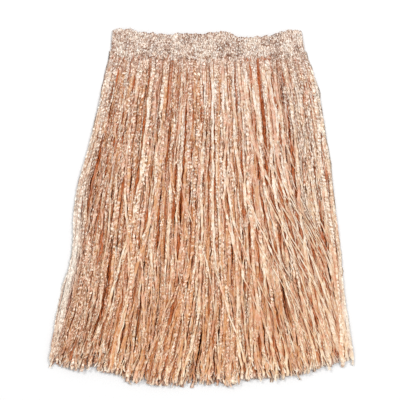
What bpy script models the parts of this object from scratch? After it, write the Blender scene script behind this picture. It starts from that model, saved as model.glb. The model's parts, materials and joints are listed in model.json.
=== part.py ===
"""Grass skirt of crinkled raffia ribbon, laid flat on a surface.

Frame: metres, +Z up off the surface, +Y from the hem towards the waist, +X to the
right of the picture.  The origin is the middle of the bounding box, on the surface.

The skirt is a gathered, knitted waistband loop, flattened into a front and a back
panel, with a thick raffia fringe hanging from its lower edge all round.  The fringe
lies in two layers, front on back, and each layer is a row of hanks: soft, slightly
crowned bundles of ribbon that spread from the waist to a blunt, uneven hem.
"""
import math

import bpy
import bmesh

MM = 0.001

# ---------------------------------------------------------------- driving sizes (mm)
SKIRT_LENGTH = 702.0      # highest point of the waistband to the lowest hem tip
SEAM_GAP = 0.4            # clearance between neighbouring pieces
HANKS = 18                # hanks in each layer of the fringe
HANK_COLUMNS = 4          # faces across one hank
HANK_ROWS = 10            # faces down one hank
HANK_CROWN = 2.4          # how far the middle of a front hank stands above its sides
BAND_COLUMNS = 76         # faces along a waistband panel
BAND_ROWS = 2             # faces down a waistband panel
BAND_WALL = 2.6           # thickness of the gathered knit
BACK_BAND_TOP = 3.6       # mean height of the back panel's upper side
BAND_ARCH = 2.4           # how far the front panel bows up off the back panel
GATHERS = 21              # gathers across a panel
GATHER_DEPTH = 0.8        # rise and fall of a gather about the mean
LAYER_GAP = 0.5           # between the front and the back fringe
EDGE_PILE = 7.0           # thickness of both layers of fringe at the side edges
EDGE_REACH = 0.16         # share of the width over which the hanks follow the outline

# Plan outline: distance down from the top, and the left and right edges.
OUTLINE = (  # down, left, right
    (0.0, -175.5, 201.0),
    (54.0, -179.5, 209.0),
    (79.0, -187.0, 220.0),
    (119.0, -194.5, 233.0),
    (178.0, -207.5, 242.0),
    (238.0, -221.0, 251.0),
    (298.0, -240.5, 260.0),
    (357.0, -248.0, 266.0),
    (436.0, -253.0, 276.5),
    (496.0, -264.5, 281.0),
    (555.0, -280.5, 288.5),
    (615.0, -292.0, 298.5),
    (660.0, -302.5, 302.5),
    (702.0, -304.0, 304.0),
)

# The even spread of the hanks between the side edges, from the waist to the hem.
FAN = (  # down, left, right
    (0.0, -175.5, 200.0),
    (54.0, -180.0, 209.0),
    (180.0, -205.0, 236.0),
    (400.0, -248.0, 270.0),
    (702.0, -304.0, 304.0),
)

# Upper edge of the waistband: it stands highest where the loop folds over at the sides.
TOP_EDGE = (  # across (0 left, 1 right), down
    (0.00, 6.0),
    (0.03, 0.0),
    (0.10, 1.0),
    (0.14, 6.5),
    (0.29, 12.0),
    (0.36, 9.5),
    (0.46, 11.0),
    (0.60, 5.0),
    (0.64, 13.0),
    (0.68, 18.5),
    (0.84, 13.5),
    (0.89, 5.0),
    (0.97, 2.0),
    (1.00, 6.0),
)

# Lower edge of the waistband, where the ribbons leave the knit.
BAND_EDGE = (  # across, down
    (0.0, 51.0),
    (0.3, 54.0),
    (0.5, 58.0),
    (0.7, 56.0),
    (1.0, 52.0),
)

# Mean line of the cut ends at the hem.
HEM = (  # across, down
    (0.0, 652.0),
    (0.1, 671.0),
    (0.2, 680.0),
    (0.3, 691.0),
    (0.4, 696.0),
    (0.5, 696.0),
    (0.6, 697.0),
    (0.7, 687.0),
    (0.8, 683.0),
    (0.9, 665.0),
    (1.0, 648.0),
)

# Thickness of both fringe layers together, down the middle of the skirt.
PILE = (  # down, thickness
    (50.0, 12.5),
    (85.0, 15.5),
    (160.0, 18.0),
    (320.0, 19.0),
    (520.0, 18.0),
    (640.0, 16.5),
    (705.0, 15.0),
)

# The largest folds pressed into the front waistband panel.
BAND_FOLDS = (  # across, half width (share), depth
    (0.125, 0.013, 1.5),
    (0.300, 0.010, 1.1),
    (0.590, 0.013, 1.6),
    (0.665, 0.010, 1.2),
    (0.870, 0.014, 1.5),
)

# The hanks that sit lower or higher than the rest, so that grooves run down the skirt.
HANK_LIFTS = (  # hank number, lift of the front hank
    (2, -1.0),
    (4, 0.8),
    (6, -1.4),
    (8, 0.6),
    (11, -1.2),
    (12, 0.9),
    (15, -1.0),
    (17, 0.5),
)


def along(table, at, column=1):
    """The table's value in a column at a point of its first column, on straight runs."""
    if at <= table[0][0]:
        return table[0][column]
    for low, high in zip(table, table[1:]):
        if at <= high[0]:
            share = (at - low[0]) / (high[0] - low[0])
            return low[column] + share * (high[column] - low[column])
    return table[-1][column]


CENTRE_DOWN = SKIRT_LENGTH / 2
ACROSS_MIDDLE = 0.0       # middle of the hem's width, on the outline's own scale


def plan(across, down):
    """X and Y in mm of a point given by its share across the skirt and its distance down."""
    left, right = along(FAN, down, 1), along(FAN, down, 2)
    left_bulge = along(OUTLINE, down, 1) - left
    right_bulge = along(OUTLINE, down, 2) - right
    near_left = max(0.0, 1.0 - across / EDGE_REACH) ** 1.5
    near_right = max(0.0, 1.0 - (1.0 - across) / EDGE_REACH) ** 1.5
    x = left + across * (right - left) + near_left * left_bulge + near_right * right_bulge
    return x - ACROSS_MIDDLE, CENTRE_DOWN - down


def crowned(across, power):
    """1 over most of the width, falling smoothly to 0 at both side edges."""
    return max(0.0, 1.0 - abs(2.0 * across - 1.0) ** power) ** 0.6


def pile_top(across, down):
    """Height of the upper side of the two fringe layers."""
    return EDGE_PILE + (along(PILE, down) - EDGE_PILE) * crowned(across, 5.0)


def pile_middle(across, down):
    """Height where the front layer lies on the back one."""
    return 0.46 * pile_top(across, down)


def hank_side(number, share):
    """Where the line between two hanks runs: it wanders a little on its way down."""
    if number in (0, HANKS):
        return number / HANKS
    pitch = 1.0 / HANKS
    even = number * pitch + 0.16 * pitch * math.sin(2.3 * number)
    wander = 0.20 * pitch * math.sin(1.7 * number + 3.6 * share) * share
    return even + wander


def cut_end(number, column, side):
    """How much further than the mean hem line the end of a hank reaches, in mm."""
    phase = 0.0 if side == "front" else 2.1
    whole = 3.4 * math.sin(2.6 * number + phase)
    teeth = 2.4 * math.sin(4.1 * column + 1.9 * number + phase)
    return whole + teeth - (1.5 if side == "back" else 0.0)


def hank_point(number, side, s, share, column):
    """The across share and the distance down of a point of a hank's plan."""
    low, high = hank_side(number, share), hank_side(number + 1, share)
    width = along(OUTLINE, 54.0, 2) - along(OUTLINE, 54.0, 1)
    opening = (0.5 * SEAM_GAP + 0.9 * share ** 3 * (1 + math.sin(3.1 * number))) / width
    low_in = low + (opening if number else 0.0)
    high_in = high - (opening if number < HANKS - 1 else 0.0)
    across = low_in + s * (high_in - low_in)
    start = along(BAND_EDGE, across) + SEAM_GAP
    end = along(HEM, across) + cut_end(number, column, side)
    return across, start + share * (end - start)


def material(name, colour, roughness):
    """A plain finish for one of the skirt's two sorts of raffia work."""
    made = bpy.data.materials.new(name)
    made.use_nodes = True
    shader = made.node_tree.nodes["Principled BSDF"]
    shader.inputs["Base Color"].default_value = (*colour, 1.0)
    shader.inputs["Roughness"].default_value = roughness
    shader.inputs["Metallic"].default_value = 0.0
    return made


def slab(name, columns, rows, place, home, finish, parent, group):
    """A soft flat piece: two grids, one for its upper and one for its lower side, joined round the rim.

    place(s, share, column, upper) gives a point in mm; home is the object's own place in mm.
    """
    bm = bmesh.new()
    bmesh.ops.create_grid(bm, x_segments=columns, y_segments=rows, size=0.5)
    copied = bmesh.ops.duplicate(bm, geom=bm.verts[:] + bm.edges[:] + bm.faces[:])
    under = {g for g in copied["geom"] if isinstance(g, bmesh.types.BMVert)}
    bmesh.ops.reverse_faces(
        bm, faces=[g for g in copied["geom"] if isinstance(g, bmesh.types.BMFace)]
    )
    for vert in bm.verts:
        s, share = vert.co.x + 0.5, 0.5 - vert.co.y
        point = place(s, share, round(s * columns), vert not in under)
        vert.co = [(point[k] - home[k]) * MM for k in range(3)]
    rim = [edge for edge in bm.edges if edge.is_boundary]
    bmesh.ops.bridge_loops(bm, edges=rim)
    bmesh.ops.recalc_face_normals(bm, faces=bm.faces)
    mesh = bpy.data.meshes.new(name)
    bm.to_mesh(mesh)
    bm.free()
    mesh.shade_smooth()
    mesh.set_sharp_from_angle(angle=math.radians(40))
    mesh.materials.append(finish)
    made = bpy.data.objects.new(name, mesh)
    made.location = [x * MM for x in home]
    made.parent = parent
    group.objects.link(made)
    return made


def gather(across, phase):
    """The rise of the gathers, uneven in spacing and depth as elastic pulls them."""
    run = GATHERS * across + 0.45 * math.sin(2 * math.pi * 2.3 * across + phase)
    depth = 0.75 + 0.25 * math.sin(2 * math.pi * 5.1 * across + 2 * phase)
    return GATHER_DEPTH * depth * math.sin(2 * math.pi * run + phase)


def fold_depth(across):
    """How deep the largest folds press into the front panel at a point across it."""
    return sum(
        depth * math.exp(-(((across - at) / half) ** 2)) for at, half, depth in BAND_FOLDS
    )


def band_down(across, share):
    """Distance down of a point of the waistband, from its upper to its lower edge."""
    top, bottom = along(TOP_EDGE, across), along(BAND_EDGE, across)
    return top + share * (bottom - top)


def back_band(s, share, column, upper):
    """The back panel lies flat on the surface; its upper side carries the gathers."""
    x, y = plan(s, band_down(s, share))
    level = BACK_BAND_TOP + gather(s, 0.2)
    return x, y, level if upper else 0.0


def front_band(s, share, column, upper):
    """The front panel is a gathered wall that bows up off the back one and nests in its gathers."""
    x, y = plan(s, band_down(s, share))
    arch = BAND_ARCH * crowned(s, 8.0)
    lift = arch - min(fold_depth(s), arch)
    level = BACK_BAND_TOP + SEAM_GAP + lift + gather(s, 0.2)
    thick = BAND_WALL + 0.35 * (1.0 + math.sin(2 * math.pi * 9.3 * s))
    return x, y, level + (thick if upper else 0.0)


def hank_shape(number, side):
    """The place function of one hank of the fringe."""
    lift = {n: up for n, up in HANK_LIFTS}.get(number, 0.0)

    def place(s, share, column, upper):
        across, down = hank_point(number, side, s, share, column)
        x, y = plan(across, down)
        middle = pile_middle(across, down)
        if side == "back":
            return x, y, middle if upper else 0.0
        if not upper:
            return x, y, middle + LAYER_GAP
        crown = HANK_CROWN * (1.0 - (2.0 * s - 1.0) ** 2) - 0.5 * HANK_CROWN
        rise = min(1.0, share * 8.0) * (crown + lift)
        outer = (number == 0 and s < 0.3) or (number == HANKS - 1 and s > 0.7)
        top = pile_top(across, down) + (0.3 if outer else rise)
        return x, y, max(top, middle + LAYER_GAP + 2.2)

    return place


def build():
    for old in list(bpy.data.objects):
        bpy.data.objects.remove(old, do_unlink=True)
    group = bpy.data.collections.new("grass_skirt")
    bpy.context.scene.collection.children.link(group)
    root = bpy.data.objects.new("skirt_origin", None)
    group.objects.link(root)

    knit = material("knitted_raffia_band", (0.68, 0.49, 0.38), 0.42)
    ribbon = material("raffia_ribbon", (0.66, 0.41, 0.24), 0.36)

    for name, place in (("waistband_back", back_band), ("waistband_front", front_band)):
        x, y = plan(0.5, along(BAND_EDGE, 0.5))
        slab(name, BAND_COLUMNS, BAND_ROWS, place, (x, y, 0.0), knit, root, group)

    for side in ("back", "front"):
        for number in range(HANKS):
            place = hank_shape(number, side)
            x, y, _ = place(0.5, 0.0, 2, False)
            slab(
                f"fringe_{side}_{number + 1:02d}",
                HANK_COLUMNS,
                HANK_ROWS,
                place,
                (x, y, 0.0),
                ribbon,
                root,
                group,
            )


build()
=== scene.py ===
"""The look of a raffia grass skirt that lies flat on a pale floor.

Every ribbon of the fringe is modelled: a crushed, pleated tube of thin plastic that leaves
the knitted waistband, wanders down its hank and ends in a blunt cut.  The ribbons are laid
one after another on a height field, as they lie on each other in the real skirt, and the
pile is then pressed to the thickness that the solids have.  Lengths below are millimetres
unless a name says otherwise; "down" is the distance from the skirt's highest point and
"across" runs from 0 at its left edge to 1 at its right one.
"""
import json
import math

import bpy
import mathutils
import numpy as np
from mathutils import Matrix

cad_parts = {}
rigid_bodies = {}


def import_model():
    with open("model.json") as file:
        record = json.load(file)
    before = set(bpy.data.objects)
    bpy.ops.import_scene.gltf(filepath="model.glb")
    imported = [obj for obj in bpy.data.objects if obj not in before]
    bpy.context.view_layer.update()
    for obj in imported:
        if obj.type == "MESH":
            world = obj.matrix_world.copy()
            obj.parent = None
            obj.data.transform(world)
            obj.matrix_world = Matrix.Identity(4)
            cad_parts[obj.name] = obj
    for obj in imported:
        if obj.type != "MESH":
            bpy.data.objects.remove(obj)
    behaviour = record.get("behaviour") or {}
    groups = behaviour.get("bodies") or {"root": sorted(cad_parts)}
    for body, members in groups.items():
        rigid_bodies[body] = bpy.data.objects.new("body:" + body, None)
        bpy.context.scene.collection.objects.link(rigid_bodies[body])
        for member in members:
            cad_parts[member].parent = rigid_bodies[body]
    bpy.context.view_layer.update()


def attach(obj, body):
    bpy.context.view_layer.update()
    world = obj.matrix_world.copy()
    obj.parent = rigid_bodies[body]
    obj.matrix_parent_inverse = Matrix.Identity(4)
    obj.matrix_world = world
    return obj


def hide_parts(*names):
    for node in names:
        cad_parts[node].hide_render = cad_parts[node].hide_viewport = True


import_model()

MM = 0.001
RNG = np.random.default_rng(123)

# ------------------------------------------------------------------ sizes of the garment
SKIRT_LENGTH = 702.0
HANKS = 18
EDGE_REACH = 0.16
BACK_BAND_TOP = 3.6
BAND_WALL = 2.6
BAND_ARCH = 2.4
GATHERS = 21
GATHER_DEPTH = 0.8
SEAM_GAP = 0.4

OUTLINE = (  # down, left, right
    (0.0, -175.5, 201.0),
    (54.0, -179.5, 209.0),
    (79.0, -187.0, 220.0),
    (119.0, -194.5, 233.0),
    (178.0, -207.5, 242.0),
    (238.0, -221.0, 251.0),
    (298.0, -240.5, 260.0),
    (357.0, -248.0, 266.0),
    (436.0, -253.0, 276.5),
    (496.0, -264.5, 281.0),
    (555.0, -280.5, 288.5),
    (615.0, -292.0, 298.5),
    (660.0, -302.5, 302.5),
    (702.0, -304.0, 304.0),
)
FAN = (  # down, left, right
    (0.0, -175.5, 200.0),
    (54.0, -180.0, 209.0),
    (180.0, -205.0, 236.0),
    (400.0, -248.0, 270.0),
    (702.0, -304.0, 304.0),
)
TOP_EDGE = (  # across, down
    (0.00, 6.0),
    (0.03, 0.0),
    (0.10, 1.0),
    (0.14, 6.5),
    (0.29, 12.0),
    (0.36, 9.5),
    (0.46, 11.0),
    (0.60, 5.0),
    (0.64, 13.0),
    (0.68, 18.5),
    (0.84, 13.5),
    (0.89, 5.0),
    (0.97, 2.0),
    (1.00, 6.0),
)
BAND_EDGE = (  # across, down
    (0.0, 51.0),
    (0.3, 54.0),
    (0.5, 58.0),
    (0.7, 56.0),
    (1.0, 52.0),
)
HEM = (  # across, lowest reach of the cut ends
    (0.000, 652.0),
    (0.040, 670.0),
    (0.094, 677.0),
    (0.120, 671.0),
    (0.146, 667.0),
    (0.172, 678.0),
    (0.237, 683.0),
    (0.255, 697.0),
    (0.300, 697.0),
    (0.355, 704.0),
    (0.410, 705.0),
    (0.466, 700.0),
    (0.530, 703.0),
    (0.600, 704.0),
    (0.635, 704.0),
    (0.660, 692.0),
    (0.688, 694.0),
    (0.714, 688.0),
    (0.746, 695.0),
    (0.770, 696.0),
    (0.790, 684.0),
    (0.830, 686.0),
    (0.850, 682.0),
    (0.877, 672.0),
    (0.909, 670.0),
    (0.942, 663.0),
    (0.975, 656.0),
    (1.000, 650.0),
)
PILE = (  # down, thickness of both layers down the middle of the skirt
    (45.0, 6.5),
    (60.0, 8.6),
    (85.0, 12.5),
    (160.0, 17.0),
    (320.0, 18.5),
    (520.0, 17.5),
    (640.0, 15.0),
    (705.0, 11.0),
)
EDGE_PILE = 6.0
BAND_FOLDS = (  # across, half width (share), depth
    (0.125, 0.013, 1.5),
    (0.300, 0.010, 1.1),
    (0.590, 0.013, 1.6),
    (0.665, 0.010, 1.2),
    (0.870, 0.014, 1.5),
)

# Places where the top ribbons part and the dark inside of the pile shows.
PARTINGS = (  # across, down from, down to, half width, lean (mm across for each mm down)
    (0.310, 56.0, 185.0, 3.4, 0.03),
    (0.145, 90.0, 128.0, 2.4, 0.00),
    (0.105, 105.0, 150.0, 2.2, -0.03),
    (0.060, 70.0, 135.0, 2.6, -0.05),
    (0.180, 85.0, 118.0, 2.3, 0.00),
    (0.465, 140.0, 190.0, 2.8, -0.02),
    (0.240, 300.0, 372.0, 3.6, -0.03),
    (0.135, 340.0, 400.0, 3.0, -0.05),
    (0.290, 325.0, 358.0, 2.6, -0.02),
    (0.370, 405.0, 450.0, 2.6, 0.00),
    (0.225, 470.0, 515.0, 2.8, -0.04),
    (0.300, 460.0, 505.0, 3.0, -0.02),
    (0.150, 425.0, 480.0, 2.4, -0.08),
    (0.560, 225.0, 275.0, 2.0, 0.02),
    (0.650, 150.0, 205.0, 2.8, 0.04),
    (0.790, 290.0, 335.0, 3.0, 0.08),
    (0.720, 320.0, 385.0, 3.4, 0.04),
    (0.860, 385.0, 425.0, 3.0, 0.20),
    (0.600, 400.0, 470.0, 2.8, 0.02),
    (0.690, 480.0, 540.0, 3.0, 0.12),
    (0.840, 500.0, 560.0, 2.6, 0.16),
    (0.470, 520.0, 600.0, 3.0, -0.02),
    (0.380, 560.0, 640.0, 3.2, -0.10),
    (0.530, 560.0, 610.0, 2.8, 0.03),
    (0.180, 560.0, 620.0, 2.6, -0.18),
    (0.770, 590.0, 650.0, 2.8, 0.12),
)

# Loose ribbons that lie across the others.
SWEEPS = (  # across at the waist, across at the hem, share where it sets off, share where it arrives
    (0.68, 0.92, 0.22, 0.90),
    (0.73, 0.95, 0.20, 0.85),
    (0.62, 0.80, 0.28, 0.95),
    (0.80, 0.965, 0.20, 0.80),
    (0.58, 0.70, 0.42, 0.95),
    (0.52, 0.63, 0.55, 1.00),
    (0.34, 0.42, 0.26, 0.62),
    (0.45, 0.37, 0.55, 1.00),
    (0.42, 0.33, 0.60, 1.00),
    (0.37, 0.45, 0.50, 0.95),
    (0.30, 0.22, 0.40, 0.90),
    (0.22, 0.14, 0.45, 1.00),
    (0.16, 0.23, 0.30, 0.75),
    (0.12, 0.05, 0.20, 0.60),
    (0.26, 0.31, 0.55, 1.00),
    (0.88, 0.80, 0.35, 0.85),
    (0.79, 0.950, 0.36, 0.80),
    (0.83, 0.970, 0.38, 0.76),
    (0.72, 0.890, 0.36, 0.95),
    (0.66, 0.830, 0.46, 1.00),
    (0.72, 0.860, 0.60, 1.00),
    (0.78, 0.940, 0.62, 1.00),
)

# How far the ribbons have drifted sideways at the hem, as a share of the skirt's width.
RIGHT_LEAN = (  # across, drift from 330 mm down to the hem
    (0.00, 0.000),
    (0.48, 0.000),
    (0.58, 0.022),
    (0.66, 0.058),
    (0.72, 0.098),
    (0.776, 0.135),
    (0.82, 0.128),
    (0.86, 0.104),
    (0.94, 0.040),
    (1.00, 0.000),
)
LEFT_LEAN = (  # across, drift from 520 mm down to the hem
    (0.00, -0.004),
    (0.05, -0.040),
    (0.10, -0.062),
    (0.16, -0.046),
    (0.24, -0.018),
    (0.32, -0.014),
    (0.42, -0.040),
    (0.54, -0.036),
    (0.60, 0.000),
    (1.00, 0.000),
)

# Ribbons that stand clear of the others along the skirt's left and right edges.
STRAYS = (  # width, shade, crimp, painted darkness (painted shade on a strand lying in shadow), then down and x of the points that it runs through
    (4.4, 1.00, 1.2, 0.0, (56, -178), (120, -192), (200, -210), (300, -238), (436, -251), (470, -257), (506, -272), (555, -283), (605, -287), (655, -297)),
    (4.4, 1.00, 1.1, 0.0, (120, -190), (240, -221), (330, -246), (380, -249), (430, -247), (500, -258), (560, -268), (640, -288), (668, -297)),
    (4.4, 1.00, 1.1, 0.0, (200, 238), (300, 256), (380, 265), (450, 274), (520, 281), (580, 289), (640, 300), (664, 301)),
    (5.5, 0.90, 0.8, 0.0, (230, -222), (300, -234), (380, -240), (440, -246), (500, -259), (550, -271), (594, -279)),
    (7.0, 1.00, 0.9, 0.0, (60, 210), (120, 223), (180, 232), (260, 236), (330, 248), (420, 262), (515, 271), (600, 277), (668, 281)),
    (2.2, 0.35, 0.1, 0.4, (120, -188), (240, -217), (330, -240), (430, -249), (474, -257), (510, -271), (553, -280), (600, -289), (628, -295)),
    (2.8, 0.80, 0.3, 0.0, (250, -44), (310, -37), (347, -29), (400, -9), (460, 13), (520, 24), (600, 33), (690, 38)),
)


def along(table, at, column=1):
    """The table's value in a column at points of its first column."""
    rows = np.asarray(table, float)
    return np.interp(at, rows[:, 0], rows[:, column])


def plan(across, down):
    """X and Y in mm of points given by their share across and distance down."""
    left, right = along(FAN, down, 1), along(FAN, down, 2)
    left_bulge = along(OUTLINE, down, 1) - left
    right_bulge = along(OUTLINE, down, 2) - right
    near_left = np.clip(1.0 - across / EDGE_REACH, 0.0, None) ** 1.5
    near_right = np.clip(1.0 - (1.0 - across) / EDGE_REACH, 0.0, None) ** 1.5
    x = left + across * (right - left) + near_left * left_bulge + near_right * right_bulge
    return x, SKIRT_LENGTH / 2 - down


def crowned(across, power):
    return np.clip(1.0 - np.abs(2.0 * across - 1.0) ** power, 0.0, None) ** 0.6


def pile_top(across, down):
    return EDGE_PILE + (along(PILE, down) - EDGE_PILE) * crowned(across, 5.0)


def smooth_step(x):
    x = np.clip(x, 0.0, 1.0)
    return x * x * (3 - 2 * x)


def wave(t, slow, count, rng=RNG):
    """A smooth random line over t, of unit size, from a few sines round one frequency."""
    total = np.zeros_like(t)
    for _ in range(count):
        total += math.sqrt(2 / count) * np.sin(
            2 * math.pi * (slow * rng.uniform(0.6, 1.5) * t + rng.uniform())
        ) * rng.uniform(0.6, 1.2)
    return total


# ------------------------------------------------------------------ laying the ribbons
ROW = 4.0                 # spacing of the height field's rows, down the skirt
COLUMN = 0.75             # and of its columns
X_LOW = -330.0
HEIGHT = np.zeros((int(720 / ROW) + 1, int(660 / COLUMN) + 1))
ROW_DOWN = np.arange(HEIGHT.shape[0]) * ROW
FOOT = np.linspace(-0.95, 0.95, 9)


def parted(x, down):
    """Moves a ribbon's middle line out of the partings."""
    for across, first, last, half, lean in PARTINGS:
        mid = (first + last) / 2
        centre, _ = plan(np.full_like(down, across), down)
        centre = centre + lean * (down - mid) - 0.0
        span = (last - first) / 2
        open_here = np.clip(1 - ((down - mid) / span) ** 2, 0, None) ** 0.7
        away = x - centre
        if not open_here.any():
            continue
        inside = np.flatnonzero(open_here > 0)
        side = np.sign(np.mean(away[inside])) or 1.0
        reach = 0.75 * half
        near = np.clip(1.0 - np.abs(away) / (4.0 * reach), 0, None)
        x = x + side * reach * open_here * near
    return x


class Ribbon:
    """One ribbon: its middle line, its width and thickness, and where it lies in the pile."""

    def __init__(self, layer, hank, across, early, width, thick, fine, rng=RNG, end=None):
        self.over_knit = layer == "top" and rng.uniform() < 0.3
        start = along(BAND_EDGE, across[0]) - (rng.uniform(-3.0, 4.0) if self.over_knit else rng.uniform(3.0, 9.0))
        lean = {"top": 1.0, "under": 0.55, "back": 0.1}[layer] * rng.uniform(0.75, 1.15)
        if end is None:
            lands = across[-1] + lean * (along(RIGHT_LEAN, across[-1]) + along(LEFT_LEAN, across[-1]))
            end = cut_line(np.clip(lands, 0, 1), rng, early)
        self.layer, self.hank, self.fine = layer, hank, fine
        first = int(math.ceil(start / ROW))
        last = int(math.floor(end / ROW))
        self.down = np.concatenate([[start], ROW_DOWN[first : last + 1], [end]])
        if self.down[1] - self.down[0] < 0.8:
            self.down = np.delete(self.down, 1)
        if self.down[-1] - self.down[-2] < 0.8:
            self.down = np.delete(self.down, -2)
        share = (self.down - start) / (end - start)
        self.share = share
        n = len(share)
        across = np.interp(share, np.linspace(0, 1, len(across)), across)
        across = across + lean * (
            along(RIGHT_LEAN, across) * np.clip((self.down - 330.0) / 372.0, 0, 1)
            + along(LEFT_LEAN, across) * np.clip((self.down - 540.0) / 150.0, 0, 1) ** 1.3
        )
        across = np.clip(across, 0.005, 0.995)
        x, _ = plan(across, self.down)
        loose = {"top": 0.75, "under": 0.6, "back": 0.5}[layer] * rng.uniform(0.2, 1.4)
        x = x + (0.7 * wave(share, 6.0, 3) + loose * wave(share, 11.0, 3) + 0.30 * wave(share, 26.0, 3)) * smooth_step(share * 9)
        splay = np.clip((self.down - end + 80.0) / 80.0, 0, 1) ** 2
        x = x + (rng.normal(0, 5.0) + 2.0 * wave(share, 14.0, 2)) * splay
        x = np.clip(x, plan(np.zeros(n), self.down)[0] + 3.5, plan(np.ones(n), self.down)[0] - 2.5)
        self.x = parted(x, self.down) if layer == "top" else x
        # spread flat and crimped where it leaves the knit, then freely folded; now and then it
        # turns over
        squeeze = 1.15 - 0.15 * smooth_step((self.down - start - 12.0) / 45.0)
        swell = 1.0 + 0.16 * wave(share, 5.0, 3) + 0.07 * wave(share, 22.0, 2) + 0.09 * wave(share, 34.0, 3)
        self.turn = 0.9 * wave(share, 2.4, 3)
        narrow = 1.0 - 0.38 * np.exp(-((np.abs(self.turn) - 1.15) / 0.22) ** 2)
        self.half = 0.5 * width * squeeze * np.clip(swell, 0.55, 1.32) * narrow
        self.thick = thick * (0.9 + 0.35 * (1 - narrow)) / squeeze
        habit = rng.choice([0.15, 0.45, 0.85, 1.2], p=[0.20, 0.25, 0.30, 0.25])
        smooth_side = smooth_step((across - 0.60) / 0.12) * smooth_step((self.down - 250.0) / 120.0)
        habit = habit * (1 - 0.72 * smooth_side)
        habit = habit + 0.40 * (1 - smooth_step((self.down - 150.0) / 250.0))
        self.crimp = np.clip(habit + 0.45 * wave(share, 7.0, 4) + 0.6 * (squeeze - 1) / 0.15, 0.03, 1.5)
        self.low = np.zeros(n)
        middle = float(np.mean(across))
        self.shade = rng.uniform() * (1.0 if layer == "top" else 0.75) + 0.36 * (middle - 0.5) + 0.20 * abs(2 * middle - 1) ** 2.5
        self.strand_shade = 0.0
        if min(middle, 1 - middle) < 0.035 and rng.uniform() < 0.7:
            self.shade = rng.uniform(0.9, 1.0)
        elif middle > 0.86 and rng.uniform() < 0.45:
            self.shade = rng.uniform(0.85, 1.0)
        elif middle > 0.62 and layer == "top" and rng.uniform() < 0.30:
            self.shade = rng.uniform(0.72, 0.95)

    def lay(self):
        row = np.clip(np.round(self.down / ROW).astype(int), 0, HEIGHT.shape[0] - 1)
        cols = (self.x[:, None] + FOOT[None] * self.half[:, None] - X_LOW) / COLUMN
        cols = np.clip(np.round(cols).astype(int), 0, HEIGHT.shape[1] - 1)
        under = HEIGHT[row[:, None], cols] - 0.30 * self.thick[:, None] * FOOT[None] ** 2
        rest = under.max(axis=1)
        n = len(rest)
        padded = np.pad(rest, 2, mode="edge")
        high = np.max([padded[k : k + n] for k in range(5)], axis=0)
        padded = np.pad(high, 2, mode="edge")
        kernel = np.array([1, 4, 6, 4, 1]) / 16.0
        soft = sum(kernel[k] * padded[k : k + n] for k in range(5))
        self.low = 0.65 * soft + 0.35 * rest
        top = self.low[:, None] + self.thick[:, None] * (0.92 - 0.45 * FOOT[None] ** 2)
        np.maximum.at(HEIGHT, (row[:, None].repeat(9, 1), cols), top)


def hank_side(number, share):
    pitch = 1.0 / HANKS
    inner = (number > 0) & (number < HANKS)
    even = number * pitch + 0.16 * pitch * np.sin(2.3 * number) * inner
    return even + inner * 0.20 * pitch * np.sin(1.7 * number + 3.6 * share) * share


def hank_path(number, s0, s1, rng=RNG, wander=1.0, n=40):
    share = np.linspace(0, 1, n)
    low, high = hank_side(number, share), hank_side(number + 1, share)
    s = s0 + (s1 - s0) * smooth_step(share) ** 0.8
    s = s + wander * (0.11 * wave(share, 0.9, 2) + 0.05 * wave(share, 3.0, 2)) * share ** 0.7
    across = low + s * (high - low)
    edge = 0.006
    return np.clip(across, edge, 1 - edge)


def cut_line(across, rng, early=12.0):
    """Where a ribbon is cut: most reach nearly to the hem's edge, a few stop short and a few
    hang below it."""
    longer = rng.uniform(0.0, 10.0) if rng.uniform() < 0.14 else 0.0
    return along(HEM, across) - early * rng.uniform() ** 1.5 - 0.5 + longer


ribbons = []


def add_ribbons(layer, side, count, width, thick, fine, spread, rng=RNG):
    made = []
    for hank in range(HANKS):
        breadth = HANKS * float(hank_side(hank + 1, 0.6) - hank_side(hank, 0.6))
        here = int(round(count * breadth)) + (2 if layer != "back" and 11 <= hank <= 14 else 0)
        for k in range(here):
            s0 = (k + rng.uniform(0.05, 0.95)) / here
            s1 = s0 + rng.normal(0, spread)
            across = hank_path(hank, s0, np.clip(s1, -0.35, 1.35))
            early = {"back": 26.0, "under": 24.0, "top": 40.0}[layer]
            made.append(
                Ribbon(
                    layer, (side, hank), across, early,
                    width * float(np.clip(np.exp(rng.normal(0.0, 0.30)), 0.55, 1.55)),
                    thick * rng.uniform(0.85, 1.15), fine,
                )
            )
    order = rng.permutation(len(made))
    for at in order:
        made[at].lay()
    ribbons.extend(made[at] for at in order)


add_ribbons("back", "back", 7, 7.0, 1.5, 4, 0.20)
add_ribbons("back", "back", 7, 7.0, 1.5, 4, 0.20)
add_ribbons("under", "front", 9, 5.8, 1.5, 3, 0.22)
add_ribbons("under", "front", 8, 5.2, 1.5, 3, 0.26)
add_ribbons("top", "front", 8, 3.8, 1.9, 1, 0.30)
add_ribbons("top", "front", 7, 3.5, 1.9, 1, 0.34)

for waist, hem, leaves, arrives in SWEEPS:
    for member in range(RNG.integers(1, 4)):
        share = np.linspace(0, 1, 60)
        later = RNG.uniform(-0.04, 0.04)
        path = waist + (hem - waist) * smooth_step((share - leaves - later) / (arrives - leaves)) ** 0.9
        path = path + RNG.normal(0, 0.009) + 0.004 * wave(share, 1.2, 2) * share
        hank = int(np.clip(np.mean(path[-20:]) * HANKS, 0, HANKS - 1))
        loose = Ribbon("top", ("front", hank), path, 10.0, RNG.uniform(3.4, 5.6), 1.8, 1)
        if hem > 0.6:
            loose.crimp = loose.crimp * 0.35
            loose.shade = RNG.uniform(0.72, 0.95)
        loose.lay()
        ribbons.append(loose)

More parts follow.
